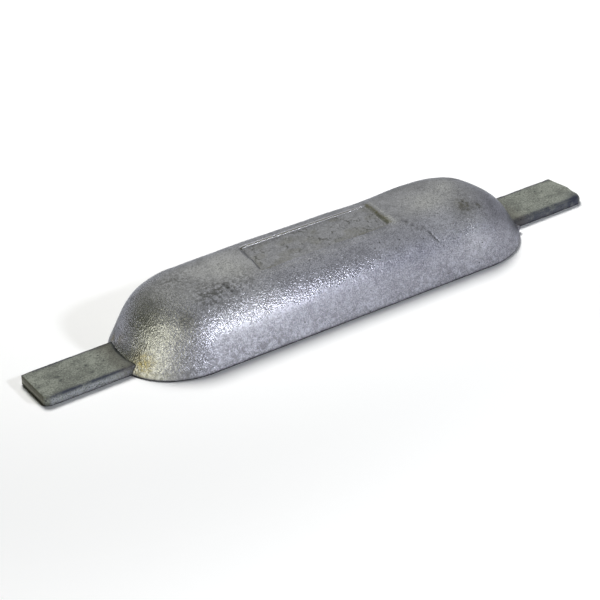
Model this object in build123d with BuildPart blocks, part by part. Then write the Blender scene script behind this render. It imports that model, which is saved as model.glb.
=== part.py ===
"""Weld-on hull anode: one zinc casting poured round a flat steel bar.

The casting is a long loaf with round noses, drafted walls, one large shoulder
radius all round its crown and a shallow panel sunk in the crown. The bar runs
straight through it, flush with the flat back, and its two bare ends are what
is welded to the hull.

Frame: +X along the bar, +Z out of the hull, z = 0 on the flat back, and the
origin under the middle of the anode. Lengths in millimetres, angles in degrees.
"""
from math import radians, tan
import os

from build123d import *

# Casting
BODY_LENGTH = 240.0         # over the round noses, at the back
BODY_WIDTH = 71.0           # at the back; each nose is a full half circle
BODY_HEIGHT = 32.0          # back to crown
SIDE_DRAFT = 14.0           # lean of the long walls from upright
NOSE_DRAFT = 33.0           # lean of the noses from upright, on the centre line
SHOULDER_RADIUS = 24.0      # rounds the walls into the crown, all the way round

# Panel sunk in the crown
PANEL_LENGTH = 74.0         # both measured on its floor
PANEL_WIDTH = 22.0
PANEL_DEPTH = 1.3
PANEL_WALL_LEAN = 35.0      # lean of its walls from upright, so that the pattern draws
PANEL_CORNER_RADIUS = 1.0

# Steel bar
BAR_LENGTH = 330.0
BAR_WIDTH = 25.0
BAR_THICKNESS = 6.0
BAR_EDGE_RADIUS = 1.0       # rolled edges, and the edges of the cut ends
LEFT_CORNER_RADIUS = 2.0    # worn front corner of the -X end, in plan
RIGHT_CORNER_RADIUS = 4.0   # worn front corner of the +X end, in plan

# Hairline between the bar and the zinc that is cast round it
BOND_GAP = 0.05

# Outline of the crown, before its shoulder is rounded, and the straight run
# between its two half circles
CROWN_WIDTH = BODY_WIDTH - 2 * BODY_HEIGHT * tan(radians(SIDE_DRAFT))
CROWN_LENGTH = BODY_LENGTH - 2 * BODY_HEIGHT * tan(radians(NOSE_DRAFT))
LOAF_LENGTH = CROWN_LENGTH - CROWN_WIDTH

# The bar: its plan with the two worn corners, then the edge radius all round
with BuildPart() as steel_strap:
    with BuildSketch(Plane.XY) as bar_plan:
        Rectangle(BAR_LENGTH, BAR_WIDTH)
        front_corners = bar_plan.vertices().group_by(Axis.Y)[0].sort_by(Axis.X)
        fillet(front_corners[0], LEFT_CORNER_RADIUS)
        fillet(front_corners[-1], RIGHT_CORNER_RADIUS)
    extrude(amount=BAR_THICKNESS)
    flat_faces = steel_strap.faces().filter_by(Axis.Z)
    fillet(flat_faces.edges(), BAR_EDGE_RADIUS)
steel_strap.part.label = "steel_strap"

# The casting: a ruled loft between two slots gives the walls one draft along
# the sides and a greater one at the noses, blended round each half circle
with BuildPart() as anode_body:
    with BuildSketch(Plane.XY) as back_outline:
        SlotOverall(BODY_LENGTH, BODY_WIDTH)
    with BuildSketch(Plane.XY.offset(BODY_HEIGHT)) as crown_outline:
        SlotOverall(CROWN_LENGTH, CROWN_WIDTH)
    loft(ruled=True)

    # Between the noses the loft gives way to a straight loaf with true flat walls
    Box(LOAF_LENGTH, BODY_WIDTH, 2 * BODY_HEIGHT, mode=Mode.SUBTRACT)
    with BuildSketch(Plane.YZ.offset(-LOAF_LENGTH / 2)) as loaf_section:
        Trapezoid(BODY_WIDTH, BODY_HEIGHT, 90 - SIDE_DRAFT, align=(Align.CENTER, Align.MIN))
    extrude(amount=LOAF_LENGTH)
    fillet(anode_body.edges().group_by(Axis.Z)[-1], SHOULDER_RADIUS)

    # The seat that the bar leaves in the zinc, open at the back and both noses
    with BuildSketch(Plane.YZ.offset(-BODY_LENGTH / 2)) as bar_seat:
        with Locations((0, (BAR_THICKNESS + BOND_GAP) / 2)):
            Rectangle(BAR_WIDTH + 2 * BOND_GAP, BAR_THICKNESS + BOND_GAP)
        fillet(bar_seat.vertices().group_by(Axis.Y)[-1], BAR_EDGE_RADIUS + BOND_GAP)
    extrude(amount=BODY_LENGTH, mode=Mode.SUBTRACT)

    # The panel: cut upwards from its floor, widening until it is clear of the crown
    with BuildSketch(Plane.XY.offset(BODY_HEIGHT - PANEL_DEPTH)) as panel_floor:
        RectangleRounded(PANEL_LENGTH, PANEL_WIDTH, PANEL_CORNER_RADIUS)
    extrude(amount=2 * PANEL_DEPTH, taper=-PANEL_WALL_LEAN, mode=Mode.SUBTRACT)
anode_body.part.label = "anode_body"

os.makedirs("parts", exist_ok=True)
export_step(steel_strap.part, "parts/steel_strap.step")
export_step(anode_body.part, "parts/anode_body.step")
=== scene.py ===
"""Weld-on hull anode: the zinc casting and its steel bar, dressed and lit.

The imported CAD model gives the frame. Lengths are in metres in that frame: +X
along the bar, +Z out of the hull, and z = 0 on the flat back. Near is the -Y
side and far the +Y side.

Both pieces are stacks of rounded rectangles. A column of the grid is a place
on the plan outline, a row is one level of the stack, and the skin's ripples,
pits and worn edges are added along the normals of that grid.
"""
import itertools
import logging
import math
from dataclasses import dataclass, field
from enum import Enum
from functools import partialmethod

import bmesh
import bpy
import numpy as np
from mathutils import Matrix, Vector


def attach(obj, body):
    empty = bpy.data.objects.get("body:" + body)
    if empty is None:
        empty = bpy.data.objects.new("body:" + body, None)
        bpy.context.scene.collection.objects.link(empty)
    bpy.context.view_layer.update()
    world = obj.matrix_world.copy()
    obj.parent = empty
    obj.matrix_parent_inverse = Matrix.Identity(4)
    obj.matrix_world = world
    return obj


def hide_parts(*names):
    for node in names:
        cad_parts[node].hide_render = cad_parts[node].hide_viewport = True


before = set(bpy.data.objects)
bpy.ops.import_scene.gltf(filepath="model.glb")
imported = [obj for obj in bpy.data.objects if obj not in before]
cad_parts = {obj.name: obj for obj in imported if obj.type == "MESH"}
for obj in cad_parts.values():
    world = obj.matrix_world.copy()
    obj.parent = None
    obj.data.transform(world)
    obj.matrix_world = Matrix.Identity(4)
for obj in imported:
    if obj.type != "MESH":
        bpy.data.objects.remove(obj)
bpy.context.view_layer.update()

Array = np.ndarray
Obj = bpy.types.Object
Socket = bpy.types.NodeSocket
Input = Socket | Vector | float | tuple
Triple = tuple[float, float, float]
Spot = tuple[float, float, float, float, float]

LOG = logging.getLogger("anode")
MM = 0.001
QUARTER = math.pi / 2
ROOT_BODY = "root"
FRAME_WIDTH = 600           # pixels across the square frame that the camera is set for
ON_BACK = 0.01 * MM         # points below this height lie on the flat back
OFF_BACK = 0.02 * MM        # points above this height surely don't
UPPER = 20 * MM             # points above this height are on the crown or its shoulder
MICRON = 1e-6               # lengths below this count as none
TINY = 1e-9                 # keeps a length from being 0 where it divides
NO_AREA = 1e-14             # square metres below which a quad is pinched to nothing
SAMPLES = 6001              # places at which a density of values is summed


# ---------------------------------------------------------------- numbers

def unit(values: Array) -> Array:
    """The values held between 0 and 1."""
    return np.clip(values, 0.0, 1.0)


def ease(share: Array) -> Array:
    """A share from 0 to 1 made level at both ends: 3 s^2 - 2 s^3."""
    return share * share * (3 - 2 * share)


def bell(distance: Array, width: float) -> Array:
    """A smooth bump that is 1 at distance 0 and fades over width."""
    return np.exp(-(distance / width) ** 2)


def past_corner(over_x: Array, over_y: Array) -> Array:
    """Distance outside the corner that two edges make, 0 where both are inside."""
    return np.hypot(np.maximum(over_x, 0.0), np.maximum(over_y, 0.0))


def smooth_min(a: Array, b: Array, blend: float) -> Array:
    """The lower of two heights, with the corner between them rounded over blend."""
    share = unit(0.5 + 0.5 * (b - a) / blend)
    return b * (1 - share) + a * share - blend * share * (1 - share)


def graded(start: float, stop: float, step: float, marks: tuple[float, ...] = (),
           fine: float = 0.2 * MM, reach: float = 1.0 * MM) -> Array:
    """Values from start to stop that lie closer together near each mark.

    A density of one value per step, with a bell of one value per fine at each
    mark, is summed along the way, and the values are where the sum passes
    evenly spaced numbers.

    Args:
        start: first value.
        stop: last value.
        step: spacing away from the marks.
        marks: places where the spacing narrows.
        fine: spacing at a mark.
        reach: half width of the bell.

    Returns:
        The increasing values, both ends included.
    """
    way = np.linspace(start, stop, SAMPLES)
    density = np.full_like(way, 1.0 / step)
    for mark in marks:
        density += (1.0 / fine - 1.0 / step) * bell(way - mark, reach)
    total = np.concatenate([[0.0], np.cumsum((density[1:] + density[:-1]) / 2 * np.diff(way))])
    count = int(math.ceil(total[-1]))
    return np.interp(np.linspace(0.0, total[-1], count + 1), total, way)


def spots(rows: tuple[Spot, ...], points: Array) -> Array:
    """The sum of soft round spots at an array of points.

    A spot is its strength times a bell of the distance to its centre.

    Args:
        rows: x, y, z and width in millimetres, and strength, of each spot.
        points: the places, whose last axis is x, y, z.

    Returns:
        One number per point.
    """
    return sum(strength * bell(np.linalg.norm(points - np.array([x, y, z]) * MM, axis=-1),
                               width * MM)
               for x, y, z, width, strength in rows)


@dataclass(frozen=True)
class LatticeNoise:
    """Smooth random values: a lattice of random numbers, blended between its corners.

    Args:
        cell: side of one lattice cell.
        seed: number of the random series.
        size: cells after which the lattice repeats.
    """

    cell: float
    seed: int
    size: int = 37

    def __call__(self, points: Array) -> Array:
        """The noise, from -1 to 1, at an array of points whose last axis is x, y, z."""
        table = np.random.default_rng(self.seed).uniform(-1.0, 1.0, (self.size,) * 3)
        place = points / self.cell
        corner = np.floor(place).astype(int)
        share = ease(place - corner)
        value = np.zeros(points.shape[:-1])
        for offset in itertools.product((0, 1), repeat=3):
            index = (corner + np.array(offset)) % self.size
            weight = np.prod(np.where(np.array(offset) == 1, share, 1 - share), axis=-1)
            value += weight * table[index[..., 0], index[..., 1], index[..., 2]]
        return value


# ------------------------------------------------------- grids and meshes

@dataclass(frozen=True)
class Outline:
    """The columns of a stack of rounded rectangles, counter-clockwise from above.

    Column k lies at (reach_x * (half_x - r) + r cos angle,
    reach_y * (half_y - r) + r sin angle), where r is the corner radius there.
    """

    reach_x: Array
    reach_y: Array
    angle: Array

    @staticmethod
    def around(stops: list[Triple], shares: list[Array]) -> "Outline":
        """Joins straight runs and corners into one closed ring.

        Args:
            stops: reach_x, reach_y and quarter turns where each run starts, and where the
                last one ends.
            shares: for each run, the places of its columns as shares of the run.

        Returns:
            The ring, with each run's last column left to the next run.
        """
        stops = [np.array(stop) * (1, 1, QUARTER) for stop in stops]
        ring = np.concatenate([start + (stop - start) * share[:-1, None]
                               for start, stop, share in zip(stops[:-1], stops[1:], shares)])
        return Outline(*ring.T)

    @staticmethod
    def rectangle(side: Array, end: Array, corner: Array) -> "Outline":
        """The ring of a rounded rectangle, from the shares along a side, an end and a corner."""
        stops = [(-1, -1, -1), (1, -1, -1), (1, -1, 0), (1, 1, 0), (1, 1, 1), (-1, 1, 1),
                 (-1, 1, 2), (-1, -1, 2), (-1, -1, 3)]
        return Outline.around(
            stops, [side, corner, end, corner, 1 - side[::-1], corner, end, corner])

    def stack(self, half_x: Array, half_y: Array, radius: Array, height: Array) -> Array:
        """The grid of points for levels of the given sizes.

        Args:
            half_x: half length of each level.
            half_y: half width of each level.
            radius: corner radius of each level, or of each level and column.
            height: z of each level.

        Returns:
            An array of rows by columns by 3.
        """
        radius = radius if radius.ndim == 2 else radius[:, None] + 0 * self.angle[None]
        x = self.reach_x * (half_x[:, None] - radius) + radius * np.cos(self.angle)
        y = self.reach_y * (half_y[:, None] - radius) + radius * np.sin(self.angle)
        return np.stack([x, y, height[:, None] + 0 * x], -1)


def grid_normals(grid: Array) -> Array:
    """Unit normals of a ring grid: the cross product of its two directions.

    The first and last rows, and points where the grid is pinched, get a normal
    straight up or down, by whether they lie above the mean height.

    Args:
        grid: rows by columns by 3, closed along the columns.

    Returns:
        An array shaped like the grid.
    """
    along = np.roll(grid, -1, axis=1) - np.roll(grid, 1, axis=1)
    normal = np.cross(along, np.gradient(grid, axis=0))
    size = np.linalg.norm(normal, axis=-1, keepdims=True)
    normal = np.where(size > NO_AREA, normal / np.maximum(size, NO_AREA), 0.0)
    level = np.linalg.norm(normal, axis=-1) < 0.5
    level[[0, -1]] = True
    normal[level] = 0.0
    normal[level, 2] = np.where(grid[level][:, 2] > grid[..., 2].mean(), 1.0, -1.0)
    return normal


def ring_mesh(name: str, grid: Array) -> Obj:
    """Makes a closed mesh from a ring grid and welds its pinched rows.

    Args:
        name: name of the object.
        grid: rows by columns by 3, closed along the columns.

    Returns:
        The new object, linked to the scene, at the origin.
    """
    rows, columns = grid.shape[:2]
    row, column = np.meshgrid(np.arange(rows - 1), np.arange(columns), indexing="ij")
    here, after = row * columns + column, row * columns + (column + 1) % columns
    quads = np.stack([here, after, after + columns, here + columns], -1).reshape(-1, 4)
    mesh = bpy.data.meshes.new(name)
    mesh.vertices.add(rows * columns)
    mesh.vertices.foreach_set("co", grid.astype(np.float32).ravel())
    mesh.loops.add(quads.size)
    mesh.loops.foreach_set("vertex_index", quads.astype(np.int32).ravel())
    mesh.polygons.add(len(quads))
    mesh.polygons.foreach_set("loop_start", np.arange(0, quads.size, 4, dtype=np.int32))
    mesh.update(calc_edges=True)
    weld(mesh)
    return add_object(name, mesh)


def add_object(name: str, data: bpy.types.ID) -> Obj:
    """A new object that holds the data, linked to the scene, at the origin."""
    thing = bpy.data.objects.new(name, data)
    bpy.context.scene.collection.objects.link(thing)
    return thing


def weld(mesh: bpy.types.Mesh) -> None:
    """Merges vertices that lie on each other and drops the faces this empties."""
    work = bmesh.new()
    work.from_mesh(mesh)
    bmesh.ops.remove_doubles(work, verts=work.verts, dist=MICRON)
    work.to_mesh(mesh)
    work.free()
    mesh.validate()
    mesh.update()


def cut(piece: Obj, cutter: Obj) -> None:
    """Takes the cutter's volume out of the piece and deletes the cutter."""
    work = piece.modifiers.new("seat", "BOOLEAN")
    work.operation = "DIFFERENCE"
    work.solver = "EXACT"
    work.object = cutter
    bpy.context.view_layer.update()
    result = bpy.data.meshes.new_from_object(
        piece.evaluated_get(bpy.context.evaluated_depsgraph_get()))
    piece.modifiers.clear()
    old = piece.data
    piece.data = result
    result.name = old.name
    bpy.data.meshes.remove(old)
    bpy.data.objects.remove(cutter)


def points_of(mesh: bpy.types.Mesh) -> Array:
    """The vertex positions of a mesh as an array of n by 3."""
    flat = np.zeros(len(mesh.vertices) * 3, np.float32)
    mesh.vertices.foreach_get("co", flat)
    return flat.reshape(-1, 3).astype(float)


def paint(mesh: bpy.types.Mesh, painted: dict[str, Array]) -> None:
    """Stores numbers per vertex, held between 0 and 1, under names that a material reads."""
    for name, values in painted.items():
        layer = mesh.attributes.new(name, "FLOAT", "POINT")
        layer.data.foreach_set("value", unit(values).astype(np.float32))


def finish_mesh(mesh: bpy.types.Mesh, material: bpy.types.Material, sharp: float) -> None:
    """Gives a mesh its one material and smooth shading, but for edges above sharp degrees."""
    mesh.shade_smooth()
    mesh.set_sharp_from_angle(angle=math.radians(sharp))
    mesh.materials.clear()
    mesh.materials.append(material)


# --------------------------------------------------------------- finishes

class Nodes:
    """Short names for the shader nodes that the finishes, the floor and the sky use."""

    def __init__(self, owner: "bpy.types.Material | bpy.types.World", ending: str,
                 shader: str, coordinate: str) -> None:
        """Empties the owner's node tree and joins one shader to its output.

        Args:
            owner: the material or the world.
            ending: type of the output node.
            shader: type of the shader node.
            coordinate: the texture coordinate that patterns lie on.
        """
        owner.use_nodes = True
        self.tree = owner.node_tree
        self.tree.nodes.clear()
        self.shader = self.new(shader)
        self.new(ending, Surface=self.shader.outputs[0])
        self.place = self.new("TexCoord").outputs[coordinate]

    @staticmethod
    def of_material(name: str) -> tuple["Nodes", bpy.types.Material]:
        """A new material with one main shader, and its nodes."""
        material = bpy.data.materials.new(name)
        return Nodes(material, "OutputMaterial", "BsdfPrincipled", "Object"), material

    def feed(self, target: Socket, value: Input) -> None:
        """Links a socket to an input, or sets the input to a number, vector or colour."""
        if isinstance(value, Socket):
            self.tree.links.new(value, target)
        else:
            target.default_value = (*value, 1.0) if isinstance(value, tuple) else value

    def new(self, kind: str, **inputs: Input) -> bpy.types.Node:
        """Adds a shader node and feeds its inputs by name."""
        node = self.tree.nodes.new("ShaderNode" + kind)
        for name, value in inputs.items():
            self.feed(node.inputs[name], value)
        return node

    def put(self, name: str, value: Input) -> None:
        """Feeds one of the main shader's inputs."""
        self.feed(self.shader.inputs[name], value)

    def stretched(self, scale: Triple) -> Socket:
        """The coordinates, stretched by a factor along each axis."""
        node = self.new("Mapping", Vector=self.place)
        node.inputs["Scale"].default_value = scale
        return node.outputs["Vector"]

    def noise(self, size: float, detail: float = 2.0, roughness: float = 0.5,
              vector: Socket | None = None) -> Socket:
        """Noise whose features are about size metres across."""
        return self.new("TexNoise", Scale=1.0 / size, Detail=detail, Roughness=roughness,
                        Vector=vector or self.place).outputs["Fac"]

    def cells(self, size: float) -> Socket:
        """Distance to the nearest of scattered points about size metres apart."""
        return self.new("TexVoronoi", Scale=1.0 / size, Vector=self.place).outputs["Distance"]

    def attribute(self, name: str) -> Socket:
        """A number that is painted on the piece's vertices."""
        node = self.new("Attribute")
        node.attribute_name = name
        return node.outputs["Fac"]

    def operate(self, kind: str, operation: str, *values: Input) -> Socket:
        """One step of arithmetic, by a node of the kind Math or VectorMath."""
        node = self.new(kind)
        node.operation = operation
        for socket, value in zip(node.inputs, values):
            self.feed(socket, value)
        return node.outputs["Value"]

    times = partialmethod(operate, "Math", "MULTIPLY")              # a * b
    plus = partialmethod(operate, "Math", "ADD")                    # a + b
    minus = partialmethod(operate, "Math", "SUBTRACT")              # a - b
    times_plus = partialmethod(operate, "Math", "MULTIPLY_ADD")     # a * b + c

    def crease(self, noise: Socket) -> Socket:
        """Folds a noise at its middle, which leaves sharp valleys between round tops."""
        return self.times(self.operate("Math", "ABSOLUTE", self.minus(noise, 0.5)), 2.0)

    def span(self, value: Socket, low: float, high: float,
             to_low: float = 0.0, to_high: float = 1.0) -> Socket:
        """Maps low..high smoothly to to_low..to_high and holds it there outside."""
        node = self.new("MapRange", **{"Value": value, "From Min": low, "From Max": high,
                                       "To Min": to_low, "To Max": to_high})
        node.interpolation_type = "SMOOTHSTEP"
        return node.outputs["Result"]

    def patches(self, low: float, high: float, *noise: float) -> Socket:
        """Noise of the given size and kind, with low..high spread over 0 to 1."""
        return self.span(self.noise(*noise), low, high)

    def band(self, value: Socket, low: float, high: float, soft: float = 0.08) -> Socket:
        """1 where the value lies between low and high, fading out over soft."""
        return self.times(self.span(value, low - soft, low), self.span(value, high + soft, high))

    def blend(self, share: Socket, first: Input, second: Input) -> Socket:
        """Mixes two colours by a share that varies over the surface."""
        node = self.new("Mix")
        node.data_type = "RGBA"
        for socket, value in ((node.inputs["Factor"], share), (node.inputs[6], first),
                              (node.inputs[7], second)):
            self.feed(socket, value)
        return node.outputs[2]

    def coats(self, colour: Input, *layers: tuple[Socket, Triple]) -> Socket:
        """Lays tints over a colour one after the other, each by its own share."""
        for share, tint in layers:
            colour = self.blend(share, colour, tint)
        return colour

    def bump(self, height: Socket, depth: float, **below: Socket) -> Socket:
        """Turns a height of 0 to 1 into relief of depth metres, over an earlier Normal."""
        return self.new("Bump", Distance=depth, Height=height, **below).outputs["Normal"]


@dataclass(frozen=True)
class ZincSkin:
    """Bare cast zinc: lilac grey, with a crinkled skin that glitters where it is lit."""

    name: str = "cast_zinc_skin"
    dark: Triple = (0.26, 0.262, 0.298)
    light: Triple = (0.53, 0.533, 0.605)
    # paler skin; also the colour of painted highlights
    pale: Triple = (0.68, 0.685, 0.72)
    # dark grey of dirt; also the colour of painted shade
    grime_and_shade: Triple = (0.16, 0.16, 0.165)
    ochre: Triple = (0.34, 0.29, 0.17)
    # green-brown oxide; also the colour of painted shade on the panel's walls and along its near
    # rim
    oxide_and_shade: Triple = (0.20, 0.19, 0.12)
    # near black of cracks and pits; also the colour of painted shade along the foot and beside
    # the -X nose
    crack: Triple = (0.05, 0.05, 0.05)
    # near-white of the painted highlight lines along the panel's far wall
    painted_highlight: Triple = (0.84, 0.84, 0.89)
    metallic: float = 1.0
    rim: Triple = (0.42, 0.43, 0.45)     # dims it at grazing angles
    smooth: float = 0.21         # roughness where the skin is crinkled
    dull: float = 0.50           # roughness on the crown
    uneven: float = 0.05         # how far the roughness strays
    fold_depth: float = 0.21 * MM
    grain_depth: float = 0.26 * MM

    def build(self) -> bpy.types.Material:
        """Makes the material, which reads the piece's own painted numbers.

        The tone is cloud, mottle and grain summed, spread further about its
        middle where the skin is crinkled or pale. Stains, painted shade and painted
        highlights lie over it as coats, and folds and grain stand up as bump.

        Returns:
            The material.
        """
        nodes, material = Nodes.of_material(self.name)
        crinkled, pale_and_highlight = nodes.attribute("crinkle"), nodes.attribute("pale")
        grain = nodes.noise(0.62 * MM, 2.0, 0.7)
        tone = nodes.plus(nodes.times(nodes.noise(13 * MM, 4.0, 0.6), 0.18),
                          nodes.plus(nodes.times(nodes.noise(3.0 * MM, 4.0, 0.7), 0.22),
                                     nodes.times(grain, 0.60)))
        contrast = nodes.times_plus(crinkled, 0.5, nodes.times_plus(pale_and_highlight, 0.5, 0.6))
        tone = nodes.times_plus(nodes.minus(tone, 0.5), contrast, 0.5)
        specks = nodes.patches(0.40, 0.62, 1.6 * MM, 3.0, 0.6)
        ochre, oxide_and_shade = (
            nodes.times(nodes.attribute(name), nodes.times_plus(specks, 1 - least, least))
            for name, least in (("ochre", 0.3), ("oxide_and_shade", 0.45)))
        pits = nodes.times(nodes.span(nodes.cells(5.5 * MM), 0.11, 0.05),
                           nodes.patches(0.50, 0.58, 9 * MM))
        strokes = nodes.crease(nodes.noise(3.2 * MM, 2.0, 0.5, nodes.stretched((1.0, 0.6, 1.0))))
        strokes = nodes.times(nodes.span(strokes, 0.07, 0.02),
                              nodes.patches(0.48, 0.60, 6 * MM, 1.0))
        climb = nodes.attribute("climb")
        # Two painted highlights: near-white lines along the foot and the rim of the panel's far
        # wall.
        lines = nodes.plus(nodes.band(climb, 0.08, 0.20), nodes.band(climb, 0.80, 0.92))
        nodes.put("Base Color", nodes.coats(
            nodes.blend(nodes.span(tone, 0.41, 0.59), self.dark, self.light),
            # the pale attribute holds paler skin and painted highlights
            (nodes.times(pale_and_highlight, nodes.span(grain, 0.30, 0.60)), self.pale),
            # the grime attribute holds dirt, painted shade and a darkening towards the foot
            (nodes.times(nodes.attribute("grime_and_shade"), nodes.patches(0.43, 0.58, 2.0 * MM, 4.0, 0.7)),
             self.grime_and_shade),
            # the oxide attribute holds real oxide and painted shade on the panel's walls and near
            # rim
            (ochre, self.ochre), (oxide_and_shade, self.oxide_and_shade),
            # the crack attribute holds cracks and pits, and painted shade along the foot and
            # beside the -X nose
            (nodes.times(pits, 0.75), self.crack), (nodes.attribute("crack"), self.crack),
            (nodes.times(nodes.attribute("strokes"), strokes), self.grime_and_shade),
            # Painted shade: the middle of the far wall, between the two highlight lines, is
            # darkened with the oxide colour.
            (nodes.times(nodes.band(climb, 0.36, 0.64), 0.9), self.oxide_and_shade),
            # the painted highlight lines, which are also made smoother below
            (lines, self.painted_highlight)))
        nodes.put("Metallic", self.metallic)
        nodes.put("Specular Tint", self.rim)
        clean = nodes.minus(1.0, nodes.times(lines, 0.6))
        rough = nodes.plus(nodes.times_plus(crinkled, self.smooth - self.dull, self.dull),
                           nodes.span(nodes.noise(5 * MM, 3.0, 0.6), 0.3, 0.7,
                                      -self.uneven, self.uneven))
        nodes.put("Roughness", nodes.times(rough, clean))
        fold = nodes.crease(nodes.noise(1.7 * MM, 1.0, 0.5, nodes.stretched((0.6, 1.0, 1.0))))
        fold = nodes.plus(nodes.times(fold, 0.55),
                          nodes.times(nodes.noise(0.95 * MM, 1.0, 0.5), 1.5))
        relief = nodes.bump(nodes.times(fold, crinkled), self.fold_depth)
        sharp = nodes.times_plus(crinkled, 0.65, nodes.times_plus(pale_and_highlight, 0.35, 0.15))
        nodes.put("Normal", nodes.bump(nodes.times(grain, nodes.times(sharp, clean)),
                                       self.grain_depth, Normal=relief))
        return material


@dataclass(frozen=True)
class MillScale:
    """Hot-rolled flat bar: grey-green scale, bluish worn edges, dark pits."""

    name: str = "mill_scale_steel"
    dark: Triple = (0.15, 0.16, 0.147)
    light: Triple = (0.31, 0.328, 0.295)
    edge: Triple = (0.40, 0.42, 0.47)
    arris: Triple = (0.045, 0.05, 0.075)
    sheared: Triple = (0.10, 0.10, 0.075)
    burr: Triple = (0.30, 0.30, 0.24)
    rust: Triple = (0.12, 0.085, 0.055)
    # near black of pits; also the colour of painted shade where the bar runs into the casting and
    # along its foot
    pit_and_shade: Triple = (0.025, 0.03, 0.035)
    metallic: float = 0.55
    scale_depth: float = 0.10 * MM

    def build(self) -> bpy.types.Material:
        """Makes the material, which reads the piece's own painted numbers.

        Returns:
            The material.
        """
        nodes, material = Nodes.of_material(self.name)
        tone = nodes.plus(nodes.times(nodes.noise(9 * MM, 4.0, 0.6), 0.42),
                          nodes.times(nodes.noise(0.9 * MM, 2.0, 0.7), 0.58))
        nodes.put("Base Color", nodes.coats(
            nodes.blend(nodes.span(tone, 0.42, 0.58), self.dark, self.light),
            (nodes.times(nodes.attribute("edge"), nodes.patches(0.38, 0.60, 0.7 * MM, 3.0, 0.7)),
             self.edge),
            (nodes.attribute("sheared"), self.sheared), (nodes.attribute("burr"), self.burr),
            (nodes.times(nodes.attribute("arris"), nodes.patches(0.20, 0.48, 7 * MM, 3.0, 0.6)),
             self.arris),
            (nodes.times(nodes.attribute("rust"), 0.5), self.rust),
            # pits, and painted shade where the bar runs into the casting and along its foot
            (nodes.attribute("pits_and_shade"), self.pit_and_shade),
            (nodes.times(nodes.span(nodes.cells(3.0 * MM), 0.18, 0.09),
                         nodes.patches(0.46, 0.52, 8 * MM)), self.pit_and_shade)))
        nodes.put("Metallic", self.metallic)
        nodes.put("Roughness", nodes.span(nodes.noise(3 * MM, 3.0, 0.6), 0.3, 0.7, 0.46, 0.62))
        nodes.put("Normal", nodes.bump(nodes.noise(1.0 * MM, 3.0, 0.6), self.scale_depth))
        return material


# ----------------------------------------------------------- the casting

# Where the skin is stained, bright or chipped: x, y, z and width in
# millimetres, and strength.
# Some of these spots are painted shade or painted highlights, as noted at their rows.
SKIN_SPOTS: dict[str, tuple[Spot, ...]] = {
    "grime_and_shade": ((-74.1, -13.9, 31.4, 9, 0.7), (-76.5, -19.5, 29.5, 6, 0.6),
              (-64.0, -16.2, 30.8, 7, 0.8), (-53, -16, 31, 6, 0.6), (-84, 6, 31, 8, 0.5),
              (-50, -8, 32, 6, 0.3), (44, -16, 31, 5, 0.4), (84, -8, 31, 6, 0.4),
              # (-91.0, -22.0, 25.5) at the end of the next line is painted shade, in the dip
              # between the -X nose's highlight and the shoulder's.
              (70, 8, 32, 5, 0.3), (-80, 2, 32, 10, 0.4), (-91.0, -22.0, 25.5, 4.5, 0.6),
              # On the next line, (-116, 2, 7.4) and (-113, -15.8, 5.8) are painted shade at the
              # -X mouth; (-84, -35, 8) and (-60, -35, 8) darken the low near wall.
              (-116, 2, 7.4, 7, 0.35), (-113, -15.8, 5.8, 6, 0.5), (-84, -35, 8, 14, 0.15),
              (-60, -35, 8, 14, 0.15), (78.5, -18.5, 29.9, 6.5, 0.8),
              (46.7, -20.5, 28.9, 1.6, 0.9), (49.0, -22.2, 28.0, 1.4, 0.8),
              (86.5, -20.2, 28.5, 2.2, 0.8)),
    # Painted highlights among the pale spots: (76, -28.5, 20.5) on the +X nose, (-70, -27, 22)
    # and (-50, -26, 24) on the near shoulder, and the two at x = 37 on the lip beyond the panel's
    # +X end.
    "pale": ((-55, 0, 32, 12, 0.8), (-72, 4, 32, 8, 0.35), (-84.5, -15, 30.9, 6, 0.35),
             (-91, -4, 32, 7, 0.3), (64, -6, 32, 12, 0.8), (80, 2, 32, 7, 0.6),
             (76, -28.5, 20.5, 11, 0.8), (58, -28, 21, 8, 0.35), (-70, -27, 22, 12, 0.6),
             (-50, -26, 24, 12, 0.5), (37.3, -7, 32, 2.2, 0.9), (37.0, -12, 32, 2.6, 0.9)),
    "ochre": ((-113.0, -15.8, 5.8, 5.5, 1.0), (-114.4, 3.9, 9.9, 3, 0.4),
              (-114.0, 12.8, 6.5, 2.2, 0.9)),
    "oxide_and_shade": ((78.0, -18.0, 30.2, 5.0, 0.5), (79.0, -18.8, 29.8, 1.2, 0.35),
              # (-91.0, -22.0, 25.5) on the next line is painted shade, in the dip between two
              # highlights.
              (-91.0, -22.0, 25.5, 4.0, 0.3), (86.5, -20.2, 28.5, 2.2, 0.3)),
    "crack": ((-64.6, -13.5, 31.5, 0.9, 0.9), (-63.6, -16.2, 30.8, 1.0, 1.0),
              (-63.1, -18.8, 29.8, 0.8, 0.9), (-91.6, -33.5, 4.0, 0.6, 1.0),
              # (-91.0, -22.0, 25.5) on the next line is painted shade, in the dip between two
              # highlights.
              (-91.0, -22.0, 25.5, 4.0, 0.4), (78.5, -18.5, 29.9, 5.0, 0.22),
              (73, -24.5, 26, 4.5, 0.16), (56.2, -30.1, 19.0, 0.6, 0.8),
              (60.1, -31.6, 15.3, 0.6, 0.8), (77.5, -32.4, 12.4, 0.6, 0.7),
              (85.8, -32.9, 9.9, 0.6, 0.7), (43.2, -15.4, 31.1, 0.9, 0.6),
              (45.2, -18.8, 29.8, 0.9, 0.6), (42.0, -13.6, 31.5, 0.7, 0.5)),
}

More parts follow.
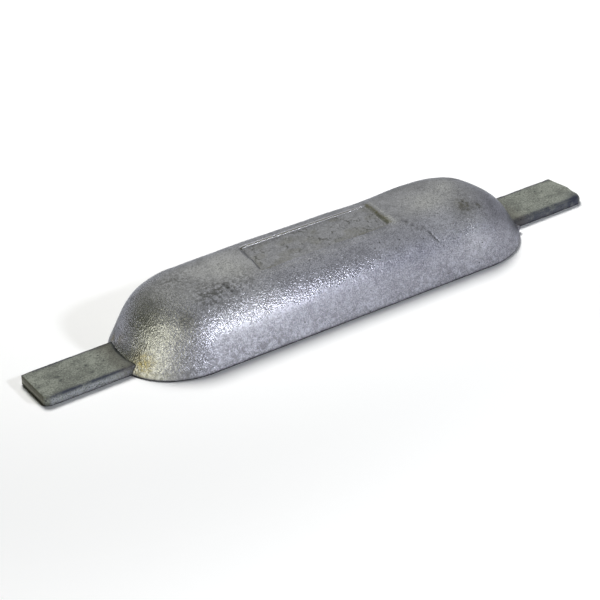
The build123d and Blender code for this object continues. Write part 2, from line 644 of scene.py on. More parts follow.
# Where the skin stands proud or lies low: the same, with the strength in millimetres.
SWELLS: tuple[Spot, ...] = (
    (108, -22, 12, 26, 1.0), (-96, 14, 26, 9, 0.6), (-40, 18, 30, 25, 0.35),
    (36, 19, 29, 12, -0.45), (64, 18, 30, 12, 0.65), (89, 8, 31, 9, 0.9),
    (99, 0, 26, 8, -0.45), (115.8, -15.2, 2.2, 1.6, 2.0), (-91.6, -33.5, 4.0, 0.6, -0.5),
    (-91.5, -22.5, 25.0, 4.5, -0.25),
)

# Where the skin is more crinkled: low on the +X nose, and beside the panel's near edge.
LIVELY_SPOTS: tuple[Spot, ...] = (
    (74, -28.0, 21.5, 11, 0.22), (-50, -19.5, 29.8, 11, 0.4), (-34, -19.5, 29.8, 11, 0.3),
    (-18, -19.5, 29.8, 11, 0.3), (-2, -19.5, 29.8, 11, 0.25), (14, -19.5, 29.8, 11, 0.15),
)


@dataclass(frozen=True)
class Panel:
    """The shallow panel sunk in the crown: a rounded rectangle with leaning walls."""

    half_length: float = 37.5 * MM
    half_width: float = 11.9 * MM
    centre_x: float = -2.35 * MM
    centre_y: float = -0.4 * MM
    slant_left: float = 0.15     # run along x per length across, at the -X end
    slant_right: float = 0.06    # the same, at the +X end
    corner: float = 1.0 * MM
    depth: float = 1.3 * MM
    wall_lean: float = 20.0      # degrees from upright
    far_lean: float = 12.0       # how much more the far wall leans
    end_lean: float = 45.0       # lean of the two end walls
    flare: float = 1.2 * MM      # how far the far edge moves out towards the -X end
    lip_height: float = 0.14 * MM
    rounding: float = 0.35 * MM  # of the corners at the wall's foot and rim
    shade_left: float = -39.6 * MM   # x of the painted shade along the -X end wall
    shade_right: float = 36.7 * MM   # the same, along the +X end wall
    shade_near: float = -12.9 * MM   # y of the painted shade along the near rim

    @property
    def rim(self) -> float:
        """Distance from the floor's edge out to the rim."""
        return self.depth * math.tan(math.radians(self.wall_lean))

    def edge_distance(self, x: Array, y: Array) -> Array:
        """Distance outside the floor's outline, negative inside it.

        The distance to a rounded rectangle: the distance to a rectangle that is
        smaller by the corner radius, less that radius. The ends are slanted by
        sliding x along with y, and distances past them are scaled by the ratio
        of the two leans, so that the end walls lean further.

        Args:
            x: places along the bar.
            y: places across it.

        Returns:
            One distance per place.
        """
        along = unit((x - self.centre_x) / (2 * self.half_length) + 0.5)
        across = y - self.centre_y
        slide = across * (self.slant_left * (1 - along) + self.slant_right * along)
        over_x = np.abs(x - self.centre_x - slide) - (self.half_length - self.corner)
        ratio = math.tan(math.radians(self.wall_lean)) / math.tan(math.radians(self.end_lean))
        over_x = np.where(over_x > self.corner, self.corner + ratio * (over_x - self.corner),
                          over_x)
        far = self.flare * (1 - along) * (across > 0)
        over_y = np.abs(across) - (self.half_width + far - self.corner)
        inside = np.minimum(np.maximum(over_x, over_y), 0.0)
        return past_corner(over_x, over_y) + inside - self.corner

    def sink(self, grid: Array, crown: float) -> Array:
        """Presses the panel into the points of a grid.

        The floor is level, the wall climbs from its edge at its lean, and the
        lower of wall and crown is kept, with both corners rounded. A low bead
        stands on the crown just outside the rim.

        Args:
            grid: points whose last axis is x, y, z.
            crown: height of the flat crown.

        Returns:
            The points with their heights changed.
        """
        x, y, z = np.moveaxis(grid, -1, 0)
        away = self.edge_distance(x, y)
        climb = away / np.tan(np.radians(self.wall_lean + self.far_lean * (y > 0)))
        wall = crown - self.depth - smooth_min(-climb, np.zeros_like(climb), self.rounding)
        bead = self.lip_height * bell(away - self.rim - 0.5 * MM, 0.6 * MM)
        sunk = smooth_min(z + bead, wall, self.rounding)
        return np.stack([x, y, np.where(z > crown / 2, sunk, z)], -1)


@dataclass(frozen=True)
class Crack:
    """A thin crack along straight steps, in millimetres, or a ridge where depth is negative."""

    steps: tuple[Triple, ...]
    width: float
    depth: float

    def spread(self, points: Array) -> Array:
        """Nearness to the crack: a bell of the distance to its closest step.

        The distance to a step is taken to the point on it that lies at the share
        of its length found by projection, held between 0 and 1.

        Args:
            points: the places, whose last axis is x, y, z.

        Returns:
            1 on the crack, fading to 0 away from it.
        """
        near = np.full(points.shape[:-1], np.inf)
        for start, stop in zip(self.steps[:-1], self.steps[1:]):
            first, way = np.array(start) * MM, (np.array(stop) - np.array(start)) * MM
            share = unit(((points - first) @ way) / (way @ way))
            away = np.linalg.norm(points - first - share[..., None] * way, axis=-1)
            near = np.minimum(near, away)
        return bell(near, self.width * MM)


# Two raised flow lines on the -X nose, and the crack that runs down the near shoulder.
CRACKS: tuple[Crack, ...] = (
    Crack(((-102.6, -3.4, 24.8), (-99.5, -6.1, 26.5), (-96.8, -8.6, 27.7),
           (-94.2, -11.6, 28.4)), 0.40, -0.10),
    Crack(((-106.0, -9.0, 20.5), (-103.0, -12.5, 22.0), (-99.5, -16.0, 23.2),
           (-96.0, -19.5, 23.8)), 0.45, -0.09),
    Crack(((51.2, -23.9, 26.7), (52.0, -25.9, 24.8), (53.0, -27.2, 23.3),
           (53.9, -28.2, 22.0)), 0.40, 0.40),
)


@dataclass
class Casting:
    """The zinc casting: a loaf of stacked slots with a seat for the bar in its back."""

    half_length: float = 120.0 * MM
    half_width: float = 36.2 * MM
    height: float = 32.0 * MM
    side_draft: float = 16.2     # degrees from upright
    nose_draft: float = 28.65
    side_shoulder: float = 24.0 * MM
    nose_shoulder: float = 35.0 * MM
    foot_radius: float = 1.2 * MM
    near_foot: float = 0.5 * MM      # how far the near foot is drawn out
    corner_foot: float = 1.4 * MM    # how much further at the near -X corner
    corner_x: float = -111 * MM
    foot_reach: float = 20 * MM      # height up to which it is drawn out
    foot_rows: int = 6
    back_rows: int = 9
    row_step: float = 0.62 * MM
    column_step: float = 0.68 * MM
    sag: float = 0.18 * MM           # heights of the skin's noise, from broad to fine
    dents: float = 0.07 * MM
    crinkle: float = 0.035 * MM
    back_dents: float = 0.03 * MM
    mouth_bead: float = 0.30 * MM
    sharp: float = 40.0          # degrees above which an edge isn't shaded smooth
    panel: Panel = field(default_factory=Panel)
    finish: ZincSkin = field(default_factory=ZincSkin)

    @property
    def run(self) -> float:
        """Half the straight length between the two noses at the back."""
        return self.half_length - self.half_width

    def shoulder(self, draft: float, radius: float) -> tuple[float, float, float, float]:
        """The arc, tangent to a leaning wall and to the crown, that joins them.

        Args:
            draft: lean of the wall in degrees.
            radius: radius of the arc.

        Returns:
            The lean, the height of the arc's centre, the height where wall and arc
            meet, and how far the centre stands in from the back outline.
        """
        lean = math.radians(draft)
        low = self.height - radius
        meet = low + radius * math.sin(lean)
        return lean, low, meet, math.tan(lean) * meet + radius * math.cos(lean)

    def inset(self, z: Array, draft: float, radius: float) -> Array:
        """How far the skin stands in from the back outline.

        The wall runs up to where the arc takes over; near z = 0 a quarter arc of
        the foot radius is added.

        Args:
            z: heights.
            draft: lean of the wall in degrees.
            radius: radius of the shoulder.

        Returns:
            One inset per height.
        """
        lean, low, meet, centre = self.shoulder(draft, radius)
        arc = centre - np.sqrt(np.maximum(radius ** 2 - (z - low) ** 2, 0.0))
        foot = self.foot_radius
        foot = foot - np.sqrt(np.maximum(foot ** 2 - np.maximum(foot - z, 0.0) ** 2, 0.0))
        return np.where(z < meet, math.tan(lean) * z, arc) + foot

    def halves(self, z: Array) -> tuple[Array, Array]:
        """Half length and half width of the casting at heights z."""
        return (self.half_length - self.inset(z, self.nose_draft, self.nose_shoulder),
                self.half_width - self.inset(z, self.side_draft, self.side_shoulder))

    def beyond(self, points: Array) -> Array:
        """How far low points lie outside the casting along x, negative inside it."""
        x, y, z = points.T
        half_x, half_y = self.halves(z)
        return np.abs(x) - (half_x - half_y) - np.sqrt(np.maximum(half_y ** 2 - y ** 2, 0.0))

    def levels(self) -> Array:
        """Heights of the rows from the foot to the crown, evenly spaced along the side.

        The side's profile is followed by length: foot, wall, then shoulder arc.
        The spacing narrows where the panel's edge crosses the shoulder.

        Returns:
            The rising heights.
        """
        radius = self.side_shoulder
        lean, low, meet, centre = self.shoulder(self.side_draft, radius)
        foot = self.foot_radius * (1 - np.cos(np.linspace(0, QUARTER, self.foot_rows)))
        wall = graded(self.foot_radius, meet, self.row_step * math.cos(lean))
        rim = self.panel.half_width + self.panel.rim
        marks = tuple(math.acos((y - self.half_width + centre) / radius)
                      for y in (self.panel.half_width, rim + 0.6 * MM))
        arc = graded(lean, QUARTER, self.row_step / radius, marks,
                     0.15 * MM / radius, 0.9 * MM / radius)
        return np.concatenate([foot[:-1], wall[:-1], low + radius * np.sin(arc)])

    def grid(self) -> Array:
        """The smooth casting as a ring grid, from the middle of its back to its crown.

        Each level is a slot: two straight runs joined by half circles.

        Returns:
            An array of rows by columns by 3.
        """
        z = self.levels()
        half_x, half_y = self.halves(z)
        straight = half_x - half_y
        back = np.linspace(0.0, 1.0, self.back_rows)[:-1] * half_y[0]
        crown = half_y[-1] - graded(0.0, half_y[-1], self.row_step)[1:]
        crown[-1] = 0.0
        half_y = np.concatenate([back, half_y, crown])
        straight = np.concatenate([0 * back + straight[0], straight, 0 * crown + straight[-1]])
        z = np.concatenate([0 * back, z, 0 * crown + self.height])
        reach = self.panel.half_length + self.panel.rim / 2
        marks = tuple((self.panel.centre_x + end) * self.run / straight[-1]
                      for end in (-reach, reach))
        side = graded(-self.run, self.run, self.column_step, marks, 0.24 * MM, 2.0 * MM)
        side = (side + self.run) / (2 * self.run)
        nose = np.linspace(0.0, 1.0, int(math.pi * self.half_width / (1.3 * self.column_step)))
        outline = Outline.around([(-1, 0, -1), (1, 0, -1), (1, 0, 1), (-1, 0, 1), (-1, 0, 3)],
                                 [side, nose, 1 - side[::-1], nose])
        return outline.stack(straight + half_y, half_y, half_y, z)

    def draw_foot(self, grid: Array) -> Array:
        """Draws the near foot out along the plan, most at the near -X corner.

        The push fades in a straight line from the back to its reach in height, and
        grows with the distance from the middle of the plan.

        Args:
            grid: the smooth casting.

        Returns:
            The grid with its foot moved.
        """
        x, y, z = np.moveaxis(grid, -1, 0)
        past = x - np.clip(x, -self.run, self.run)
        push = self.near_foot + self.corner_foot * bell(x - self.corner_x, 16 * MM)
        push = push * unit(-y / (14 * MM)) * unit(1 - z / self.foot_reach) / self.half_width
        return np.stack([x + past * push, y + y * push, z], -1)

    def roughen(self, grid: Array) -> Array:
        """Moves the skin along its normals by noise, swells, the bar's mouths and cracks.

        The noise is broad sag, hand-sized dents, and the flow crinkle, which is
        strongest on the shoulder and the noses. The flat back only moves inwards.

        Args:
            grid: the smooth casting.

        Returns:
            The grid with its skin moved.
        """
        z = grid[..., 2]
        fine = LatticeNoise(2.2 * MM, 7)(grid) + 0.6 * LatticeNoise(1.4 * MM, 8)(grid)
        move = (self.sag * LatticeNoise(28 * MM, 3)(grid)
                + self.dents * LatticeNoise(8 * MM, 5)(grid)
                + self.crinkle * fine * self.liveliness(grid) + spots(SWELLS, grid) * MM
                + self.mouth_bead * self.mouth(grid)
                - sum(crack.spread(grid) * crack.depth * MM for crack in CRACKS))
        move = np.where(z < ON_BACK, -self.back_dents * (1 + LatticeNoise(6 * MM, 9)(grid)),
                        move * unit(z / (1.5 * MM)))
        return grid + grid_normals(grid) * move[..., None]

    @staticmethod
    def mouth(points: Array) -> Array:
        """Nearness to a line just outside the bar's section, at the two noses."""
        bar = FlatBar()
        away = past_corner(np.abs(points[..., 1]) - bar.half_width,
                           points[..., 2] - bar.thickness)
        return (np.abs(points[..., 0]) > 100 * MM) * bell(away - 0.5 * MM, 0.8 * MM)

    @staticmethod
    def liveliness(points: Array) -> Array:
        """How strongly the skin is crinkled: most on the shoulder and the -X nose.

        A base is everywhere. The shoulder adds a bell about its height, stronger
        towards -X, and the -X nose and the lively spots add theirs. The crown
        takes most of the sum away, and less of it towards -X.

        Args:
            points: the places, whose last axis is x, y, z.

        Returns:
            Numbers from 0 to 1.
        """
        x, z = points[..., 0], points[..., 2]
        shoulder = bell(z - 24 * MM, 8 * MM)
        left = unit((45 * MM - x) / (90 * MM))
        nose = unit((-x - 78 * MM) / (14 * MM)) * unit(z / (6 * MM))
        crown = unit((z - 30.5 * MM) / (1.2 * MM))
        live = 0.35 + 0.65 * shoulder * (0.35 + 0.65 * left) + 0.6 * nose
        return unit(live + spots(LIVELY_SPOTS, points)) * (1 - (0.75 - 0.45 * left) * crown)

    def build(self) -> Obj:
        """Makes the casting, cuts the bar's seat and paints its marks.

        Returns:
            The finished piece.
        """
        grid = self.roughen(self.draw_foot(self.grid()))
        piece = ring_mesh("zinc_casting", self.panel.sink(grid, self.height))
        cut(piece, BarSeat().build())
        self.paint_marks(piece.data)
        finish_mesh(piece.data, self.finish.build(), self.sharp)
        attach(piece, ROOT_BODY)
        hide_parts("anode_body")
        return piece

    def climb(self, points: Array) -> Array:
        """Share of the far wall's height that a point stands at, 0 elsewhere.

        The rim's height is a quartic in x, fitted to the points just outside it.

        Args:
            points: an array of n by 3.

        Returns:
            Numbers from 0 to 1.
        """
        x, y, z = points.T
        panel, outer = self.panel, 1.2 * MM
        away = panel.edge_distance(x, y)
        side = (y > 10.5 * MM) & (z > UPPER) & (
            np.abs(x - panel.centre_x) < panel.half_length - 0.4 * MM)
        rim = side & (np.abs(away - outer) < 0.3 * MM)
        top = np.polyval(np.polyfit(x[rim] / MM, z[rim], 4), x / MM)
        floor = self.height - panel.depth
        return side * (away < outer) * unit((z - floor) / (top - floor))

    def paint_marks(self, mesh: bpy.types.Mesh) -> None:
        """Stores where the skin is crinkled, dirty, stained or cracked, and where shade and
        highlights are painted.

        Besides the spots, the skin darkens towards the foot, with a dark line of
        painted shade along the foot itself. Oxide lies on the panel's floor, painted
        shade on its end walls and along its near rim, and painted highlights on the
        lip beyond its +X end and on the lip at the -X mouth.

        Args:
            mesh: the casting's mesh.
        """
        points = points_of(mesh)
        x, y, z = points.T
        high, panel = z > UPPER, self.panel
        in_panel = unit(-panel.edge_distance(x, y) / MM) * high
        past_right = x - panel.slant_right * y - panel.shade_right
        past_left = x - panel.slant_left * y - panel.shade_left
        walls = bell(past_right, 1.1 * MM) + 0.25 * bell(past_left, 0.8 * MM)
        near_rim = bell(y - panel.shade_near, 0.7 * MM) * (
            bell(x + 36 * MM, 7 * MM) + bell(x - 22 * MM, 12 * MM))
        stains = unit(LatticeNoise(5 * MM, 41)(points) * 2)
        painted = {name: spots(rows, points) for name, rows in SKIN_SPOTS.items()}
        painted["crack"] += sum(crack.spread(points) for crack in CRACKS if crack.depth > 0)
        # A dark line of painted shade along the foot, where the skin meets the floor.
        painted["crack"] += 0.85 * (z > OFF_BACK) * bell(z - 0.3 * MM, 0.8 * MM)
        # Oxide on the panel's floor, and a line of painted shade along its near rim.
        painted["oxide_and_shade"] += 0.3 * in_panel * stains + 0.9 * high * near_rim
        # Painted shade on the panel's two end walls.
        painted["oxide_and_shade"] += 0.85 * high * (np.abs(y) < 12.5 * MM) * walls
        # A painted highlight on the lip beyond the panel's +X end.
        painted["pale"] += 0.7 * high * (np.abs(y) < 13 * MM) * bell(
            past_right - 2.5 * MM, 0.7 * MM)
        # A painted highlight on the lip at the -X mouth.
        painted["pale"] += 0.5 * (x < 0) * self.mouth(points)
        # Darker towards the foot.
        painted["grime_and_shade"] += 0.5 * bell(z, 14 * MM)
        painted["climb"] = self.climb(points)
        painted["strokes"] = 0.9 * in_panel
        painted["crinkle"] = self.liveliness(points) * (1 - 0.7 * in_panel)
        paint(mesh, painted)


@dataclass(frozen=True)
class Lie:
    """How the bar lies in the casting: turned a little about Z and moved along Y."""

    turn: float = 0.42           # degrees
    shift_y: float = 0.45 * MM

    def place(self, points: Array) -> Array:
        """The points turned and moved."""
        cos, sin = math.cos(math.radians(self.turn)), math.sin(math.radians(self.turn))
        x, y, z = np.moveaxis(points, -1, 0)
        return np.stack([x * cos - y * sin, x * sin + y * cos + self.shift_y, z], -1)


@dataclass(frozen=True)
class BarSeat:
    """The hollow that the bar leaves in the zinc, a little ragged at its two mouths."""

    half_length: float = 130.0 * MM
    half_width: float = 13.3 * MM
    top: float = 5.4 * MM
    bottom: float = -4.0 * MM
    corner: float = 1.0 * MM
    mouth_x: float = 115 * MM
    ragged: float = 0.30 * MM
    columns: tuple[int, int, int] = (41, 15, 7)      # along a side, a wall and a corner

    def build(self) -> Obj:
        """Makes the cutter: a rounded rectangle carried along X, closed at both ends.

        The section is stacked along z and then turned to lie along x. Near the
        mouths it is swollen outwards from its middle by noise.

        Returns:
            The cutter's object.
        """
        ring = Outline.rectangle(*(np.linspace(0.0, 1.0, count) for count in self.columns))
        way = graded(-self.half_length, self.half_length, 12 * MM, (-114 * MM, 114 * MM),
                     0.7 * MM, 8 * MM)
        way = np.concatenate([way[:1], way, way[-1:]])
        middle = (self.top + self.bottom) / 2
        size = np.ones(len(way))
        size[[0, -1]] = 0.0
        across, up, along = np.moveaxis(ring.stack(
            size * self.half_width, size * (self.top - middle), size * self.corner, way), -1, 0)
        grid = np.stack([along, across, up + middle], -1)
        noise = np.clip(LatticeNoise(2.4 * MM, 21)(grid) + 0.35, 0.0, 1.5)
        outwards = (grid - np.array([0.0, 0.0, middle])) * np.array([0, 1, 1])
        outwards /= np.maximum(np.linalg.norm(outwards, axis=-1, keepdims=True), TINY)
        mouth = bell(np.abs(grid[..., 0]) - self.mouth_x, 6 * MM)
        grid = grid + outwards * (self.ragged * noise * mouth)[..., None]
        return ring_mesh("seat_cutter", Lie().place(grid))


# ----------------------------------------------------------------- the bar

@dataclass
class FlatBar:
    """The steel bar: a sheared length of flat bar with rolled edges."""

    half_length: float = 164.8 * MM
    half_width: float = 13.2 * MM
    thickness: float = 5.3 * MM
    edge_radius: float = 0.7 * MM
    worn_left: float = 0.9 * MM      # radius of the worn near arris, towards -X
    worn_right: float = 2.3 * MM     # the same, towards +X
    worn_tip: float = 1.0 * MM       # how much more at the +X end
    worn_over: float = 60 * MM       # length over which it grows from the middle
    dents: float = 0.05 * MM         # heights of the scale's noise, broad and fine
    grain: float = 0.02 * MM
    proud: float = 0.02 * MM         # how far the scale may stand up
    bruises: float = 0.20 * MM
    back_dent: float = 0.02 * MM
    skew_right: float = 0.140        # run along x per length across, at the +X end
    skew_from: float = 130 * MM      # where the skew starts, and over what length it grows
    skew_over: float = 30 * MM
    near_left_corner: float = 4.0 * MM
    near_right_corner: float = 6.2 * MM
    far_corner: float = 1.0 * MM
    flat_rows: int = 18
    edge_rows: int = 7
    side_rows: int = 8
    end_columns: int = 41
    corner_columns: int = 9
    sharp: float = 50.0              # degrees above which an edge isn't shaded smooth
    finish: MillScale = field(default_factory=MillScale)

    def pits(self) -> tuple[Spot, ...]:
        """Dark pits in the scale of the -X end: x, y, width and strength, set on the top."""
        rows = ((-147.8, 9.0, 0.6, 0.7), (-135.5, 0.8, 1.0, 0.9), (-136.1, -6.5, 0.9, 0.7),
                (-151.6, -0.2, 1.0, 0.8), (-151.3, -3.7, 1.1, 0.8), (-150.2, -1.0, 0.6, 0.8),
                (-163.0, -3.0, 1.5, 0.6), (-137.0, 6.3, 1.8, 0.35))
        return tuple((x, y, self.thickness / MM, *spot) for x, y, *spot in rows)

    def rightness(self, x: Array) -> Array:
        """0 on the -X half, growing to 1 along +X."""
        return unit(x / self.worn_over)

    def grid(self) -> Array:
        """The bar as a ring grid: flat underside, rolled edge, side, rolled edge, flat top.

        Each level is the plan drawn in by an inset, with its corner radii less the same.

        Returns:
            An array of rows by columns by 3.
        """
        long = graded(-self.half_length, self.half_length, 5 * MM,
                      (-140 * MM, 140 * MM), 0.6 * MM, 32 * MM)
        ring = Outline.rectangle((long + self.half_length) / (2 * self.half_length),
                                 np.linspace(0.0, 1.0, self.end_columns),
                                 np.linspace(0.0, 1.0, self.corner_columns))
        near, right = (1 - ring.reach_y) / 2, (1 + ring.reach_x) / 2
        radius = self.near_left_corner * (1 - right) + self.near_right_corner * right
        radius = radius * near + self.far_corner * (1 - near)
        turn = np.linspace(0.0, QUARTER, self.edge_rows)
        edge = self.edge_radius
        flat = np.linspace(0.0, 1.0, self.flat_rows)[:-1]
        under = self.half_width - (self.half_width - edge) * flat
        lower, lower_z = edge * (1 - np.sin(turn)), edge * (1 - np.cos(turn))
        side_z = np.linspace(edge, self.thickness - edge, self.side_rows)[1:-1]
        inset = np.concatenate([under, lower, 0 * side_z, lower[::-1], under[::-1]])
        z = np.concatenate([0 * under, lower_z, side_z, self.thickness - lower_z[::-1],
                            0 * under + self.thickness])
        corner = np.maximum(radius[None] - inset[:, None], 0.0)
        return ring.stack(self.half_length - inset, self.half_width - inset, corner, z)

    def wear(self, grid: Array) -> Array:
        """Dents the scale a little, bruises the edges, wears the arris and skews the +X end.

        The skew slides x along with y, by a share that grows towards the end.

        Args:
            grid: the smooth bar.

        Returns:
            The grid with its skin moved.
        """
        move = (self.dents * LatticeNoise(7 * MM, 31)(grid)
                + self.grain * LatticeNoise(1.8 * MM, 32)(grid))
        side = bell(np.abs(grid[..., 1]) - self.half_width, 1.2 * MM)
        end = bell(np.abs(grid[..., 0]) - self.half_length, 1.2 * MM)
        bruise = unit(LatticeNoise(4 * MM, 33)(grid))
        move = np.minimum(move, self.proud) - self.bruises * bruise * np.maximum(side, end)
        move = np.where(grid[..., 2] < ON_BACK, -self.back_dent, move)
        x, y, z = np.moveaxis(self.wear_arris(grid + grid_normals(grid) * move[..., None]), -1, 0)
        slide = unit((x - self.skew_from) / self.skew_over)
        return np.stack([x - slide * self.skew_right * y, y, z], -1)

    def wear_arris(self, grid: Array) -> Array:
        """Rounds the near top arris and the two near corners.

        The inset of a point is its distance inside the plan, a rounded rectangle.
        A point that lies outside a quarter round of the wear radius, drawn in inset
        and height, is moved onto it. The radius grows from the -X end to the +X end
        and fades out along both ends.

        Args:
            grid: the bar before it is worn there.

        Returns:
            The grid with those points moved.
        """
        x, y, z = np.moveaxis(grid, -1, 0)
        corner = np.where(x > 0, self.near_right_corner, self.near_left_corner)
        past_x = np.abs(x) - (self.half_length - corner)
        past_y = -y - (self.half_width - corner)
        inset = corner - past_corner(past_x, past_y) - np.minimum(np.maximum(past_x, past_y), 0.0)
        right = self.rightness(x)
        radius = self.worn_left * (1 - right) + self.worn_right * right
        radius = radius + self.worn_tip * bell(x - self.half_length, 8 * MM)
        fade = np.where(past_x > 0, ease(unit(1 + past_y / (1.5 * corner))), 1.0 * (y < 0))
        radius = np.maximum(radius * fade, MICRON)
        out, rise = radius - inset, z - (self.thickness - radius)
        away = np.hypot(out, rise)
        outside = (out > 0) & (rise > 0) & (away > radius)
        share = np.where(outside, radius / np.maximum(away, TINY), 1.0)
        turn = np.where((past_x > 0) & (past_y > 0), np.arctan2(past_x, past_y),
                        np.where(past_x > past_y, QUARTER, 0.0))
        back = out * (1 - share)
        return np.stack([x - np.sign(x) * np.sin(turn) * back, y + np.cos(turn) * back,
                         np.where(outside, self.thickness - radius + rise * share, z)], -1)

    def build(self) -> Obj:
        """Makes the bar and paints its worn places, pits and painted shade.

        Returns:
            The finished piece.
        """
        piece = ring_mesh("flat_bar", Lie().place(self.wear(self.grid())))
        self.paint_marks(piece.data)
        finish_mesh(piece.data, self.finish.build(), self.sharp)
        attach(piece, ROOT_BODY)
        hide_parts("steel_strap")
        return piece

    def paint_marks(self, mesh: bpy.types.Mesh) -> None:
        """Stores where the bar is worn, sheared, rusty or pitted, and where shade is painted on
        it.

        Args:
            mesh: the bar's mesh.
        """
        points = points_of(mesh)
        x, y, z = points.T
        across = y - Lie().shift_y - x * math.tan(math.radians(Lie().turn))
        along = np.abs(x) + self.skew_right * across * (x > 0)
        past_side, past_top = np.abs(across) - self.half_width, z - self.thickness
        side = unit((past_side + 0.5 * MM) / (0.4 * MM))
        end = unit((along - self.half_length + 0.6 * MM) / (0.4 * MM))
        right = self.rightness(x)
        beyond = Casting().beyond(points)
        # A dark line of painted shade along the bar's foot, where it meets the floor.
        foot = 0.9 * (z > OFF_BACK) * bell(z - 0.2 * MM, 0.55 * MM)
        paint(mesh, {
            "edge": side * (1 - 0.75 * right) * (1 - 0.8 * bell(past_top, 1.3 * MM)),
            "sheared": end,
            "burr": 0.8 * end * bell(z - 2.2 * MM, 0.5 * MM) * (x < 0),
            # A dark line along the near top arris, and the whole side made darker towards +X.
            "arris": bell(past_top, 1.1 * MM) * bell(past_side + 0.3 * MM, 1.4 * MM)
            + 0.8 * side * right + spots(((162.0, -11.5, 4.5, 6, 0.7),), points),
            "rust": 0.6 * bell(along - 119 * MM, 6 * MM),
            # Painted shade where the bar runs into the casting, the pits, and the foot line.
            "pits_and_shade": bell(beyond, 0.9 * MM) + 0.45 * bell(beyond, 6 * MM)
            + spots(self.pits(), points) + foot,
        })


# -------------------------------------------------------- studio and camera

class LightKind(Enum):
    """The studio's soft lamps, by what they do."""

    GLINT = "glint_softbox"
    FRONT = "front_softbox"
    KEY = "key_softbox"
    LEFT = "left_softbox"
    BACK = "back_softbox"


class Seen(Enum):
    """Which light of a lamp counts: what metal mirrors, or what pale things scatter."""

    MIRRORED = "mirrored"
    SCATTERED = "scattered"


def towards(azimuth: float, elevation: float) -> Vector:
    """The direction at a bearing in degrees, 0 towards -Y and positive towards +X."""
    bearing, rise = math.radians(azimuth), math.radians(elevation)
    return Vector((math.sin(bearing) * math.cos(rise), -math.cos(bearing) * math.cos(rise),
                   math.sin(rise)))


@dataclass(frozen=True)
class Softbox:
    """A square soft lamp that faces the anode.

    Args:
        kind: which lamp it is.
        azimuth: bearing in degrees, 0 towards -Y and positive towards +X.
        elevation: height above the floor in degrees.
        distance: metres from the anode.
        size: side of the square in metres.
        radiance: brightness of its face, where the floor's white is about 1.
        colour: tint of its light.
        seen: which of its light counts.
    """

    kind: LightKind
    azimuth: float
    elevation: float
    distance: float
    size: float
    radiance: float
    colour: Triple
    seen: Seen

    def build(self) -> Obj:
        """Hangs the lamp and turns it to the anode.

        Returns:
            The lamp's object.
        """
        lamp = bpy.data.lights.new(self.kind.value, "AREA")
        lamp.shape = "SQUARE"
        lamp.size = self.size
        lamp.color = self.colour
        lamp.energy = self.radiance * math.pi * self.size ** 2
        holder = add_object(self.kind.value, lamp)
        away = towards(self.azimuth, self.elevation)
        holder.location = away * self.distance
        holder.rotation_euler = away.to_track_quat("Z", "Y").to_euler()
        holder.visible_camera = False
        holder.visible_glossy = self.seen is Seen.MIRRORED
        holder.visible_diffuse = self.seen is Seen.SCATTERED
        return holder


@dataclass(frozen=True)
class SkyPatch:
    """A soft round patch of the sky with a tint of its own.

    Args:
        azimuth: bearing of its middle in degrees.
        elevation: height of its middle in degrees.
        inner: angle from its middle within which it is full.
        outer: angle at which it has faded out.
        colour: its radiance.
    """

    azimuth: float
    elevation: float
    inner: float
    outer: float
    colour: Triple


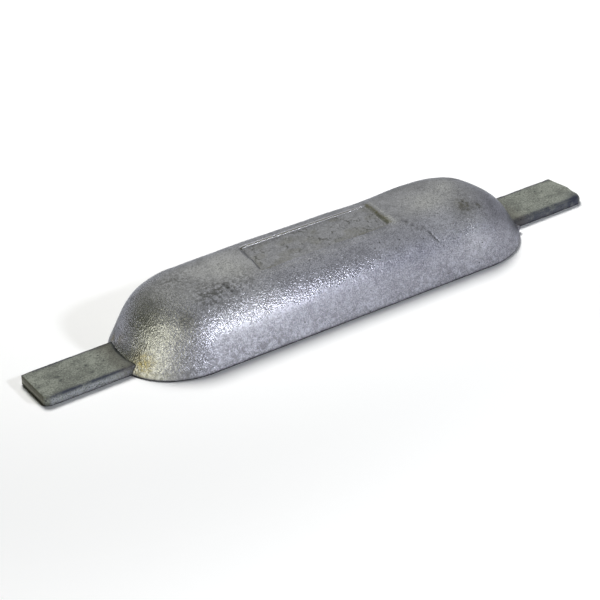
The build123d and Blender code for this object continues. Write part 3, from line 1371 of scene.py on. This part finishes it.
@dataclass(frozen=True)
class Studio:
    """A plain pale floor under a soft pale sky, with five soft lamps.

    The sky shows in the metal only, and two of the lamps light the floor.
    """

    floor_half: float = 6.0
    floor_drop: float = 0.05 * MM
    floor_colour: Triple = (0.92, 0.92, 0.92)
    floor_roughness: float = 0.9
    floor_sheen: float = 0.1
    far_glow: float = 0.35       # lifts the floor to white away from the anode
    sky_colour: Triple = (0.785, 0.785, 0.69)
    patches: tuple[SkyPatch, ...] = (
        SkyPatch(65.0, 60.0, 20.0, 60.0, (0.56, 0.57, 0.56)),
        SkyPatch(-40.0, 55.0, 10.0, 36.0, (0.40, 0.41, 0.40)),
        SkyPatch(28.0, -5.0, 34.0, 54.0, (0.43, 0.445, 0.505)),
        SkyPatch(-125.0, 20.0, 20.0, 70.0, (0.16, 0.165, 0.11)),
        SkyPatch(95.0, 0.0, 10.0, 45.0, (0.30, 0.30, 0.31)),
    )
    lamps: tuple[Softbox, ...] = (
        Softbox(LightKind.GLINT, 1.0, 24.5, 0.24, 0.064, 12.5, (0.95, 0.97, 1.0), Seen.MIRRORED),
        Softbox(LightKind.FRONT, 28.0, 26.5, 1.5, 0.17, 0.85, (0.97, 0.98, 1.0), Seen.MIRRORED),
        Softbox(LightKind.KEY, 30.0, 31.0, 1.5, 0.15, 138.0, (0.90, 0.93, 1.0), Seen.SCATTERED),
        Softbox(LightKind.LEFT, -80.0, 27.0, 0.8, 0.50, 2.1, (1.0, 0.99, 0.70), Seen.MIRRORED),
        Softbox(LightKind.BACK, 165.0, 59.0, 1.2, 0.47, 23.8, (1.0, 1.0, 0.98), Seen.SCATTERED),
    )

    def build(self) -> None:
        """Makes the floor, the sky and the lamps."""
        self.build_floor()
        self.build_sky()
        for lamp in self.lamps:
            lamp.build()

    def build_floor(self) -> None:
        """Makes a flat pale floor that glows a little away from the anode."""
        half = self.floor_half
        mesh = bpy.data.meshes.new("studio_floor")
        corners = [(-half, -half, 0), (half, -half, 0), (half, half, 0), (-half, half, 0)]
        mesh.from_pydata(corners, [], [(0, 1, 2, 3)])
        floor = add_object("studio_floor", mesh)
        floor.location = (0, 0, -self.floor_drop)
        nodes, material = Nodes.of_material("pale_floor")
        nodes.put("Base Color", self.floor_colour)
        nodes.put("Roughness", self.floor_roughness)
        nodes.put("Specular IOR Level", self.floor_sheen)
        nodes.put("Emission Color", (1.0, 1.0, 1.0))
        reach = nodes.operate("VectorMath", "LENGTH", nodes.stretched((0.5, 1.0, 1.0)))
        nodes.put("Emission Strength", nodes.span(reach, 0.10, 0.30, 0.0, self.far_glow))
        mesh.materials.append(material)

    def build_sky(self) -> None:
        """Makes the sky: one colour, with each patch laid over it.

        A patch's share is read from the cosine of the angle to its middle.
        """
        world = bpy.data.worlds.new("studio_sky")
        nodes = Nodes(world, "OutputWorld", "Background", "Generated")
        layers = []
        for patch in self.patches:
            cosine = nodes.operate("VectorMath", "DOT_PRODUCT", nodes.place,
                                   towards(patch.azimuth, patch.elevation))
            outer, inner = (math.cos(math.radians(v)) for v in (patch.outer, patch.inner))
            layers.append((nodes.span(cosine, outer, inner), patch.colour))
        nodes.put("Color", nodes.coats(self.sky_colour, *layers))
        world.cycles_visibility.diffuse = False
        bpy.context.scene.world = world


@dataclass(frozen=True)
class StillCamera:
    """A long lens to the front left of the anode, looking down on it.

    Args:
        focal: focal length in pixels of the square frame.
        azimuth: bearing of the view in degrees, from +Y towards +X.
        elevation: how far the view looks down, in degrees.
        roll: turn about the view, in degrees.
        distance: metres to the point looked at.
        centre_x: x of the anode's middle from the point looked at.
        slide: sideways and downwards move of the picture, in pixels.
        sensor: width of the sensor in millimetres.
        nearest: metres at which the view starts.
    """

    focal: float = 1900.0
    azimuth: float = 31.62
    elevation: float = 30.82
    roll: float = -2.964
    distance: float = 0.97031
    centre_x: float = 15.89 * MM
    slide: tuple[float, float] = (-4.92, -2.29)
    sensor: float = 36.0
    nearest: float = 0.05

    def build(self) -> Obj:
        """Makes the camera and makes it the scene's own.

        Returns:
            The camera's object.
        """
        bearing, dip, roll = (math.radians(v) for v in (self.azimuth, self.elevation, self.roll))
        right = Vector((math.cos(bearing), -math.sin(bearing), 0.0))
        ahead = Vector((math.sin(bearing) * math.cos(dip), math.cos(bearing) * math.cos(dip),
                        -math.sin(dip)))
        up = right.cross(ahead)
        across = math.cos(roll) * right + math.sin(roll) * up
        upwards = -math.sin(roll) * right + math.cos(roll) * up
        lens = bpy.data.cameras.new("still_camera")
        lens.sensor_width = self.sensor
        lens.lens = self.focal * self.sensor / FRAME_WIDTH
        lens.shift_x = -self.slide[0] / FRAME_WIDTH
        lens.shift_y = self.slide[1] / FRAME_WIDTH
        lens.clip_start = self.nearest
        camera = add_object("still_camera", lens)
        turn = Matrix((across, upwards, -ahead)).transposed()
        camera.matrix_world = Matrix.Translation(
            -self.distance * ahead - Vector((self.centre_x, 0, 0))) @ turn.to_4x4()
        bpy.context.scene.camera = camera
        return camera


def report(piece: Obj) -> None:
    """Logs a piece's name, its triangles and its box in millimetres."""
    triangles = sum(len(face.vertices) - 2 for face in piece.data.polygons)
    points = points_of(piece.data) / MM
    LOG.info("%s: %d triangles, %s to %s mm", piece.name, triangles,
             points.min(0).round(2), points.max(0).round(2))


def main() -> None:
    """Builds the camera, the studio and the two pieces, and notes the boxes."""
    logging.basicConfig(level=logging.INFO, format="%(name)s: %(message)s")
    bpy.context.scene.view_settings.view_transform = "Standard"
    StillCamera().build()
    Studio().build()
    for part in (Casting(), FlatBar()):
        report(part.build())


if __name__ == "__main__":
    main()
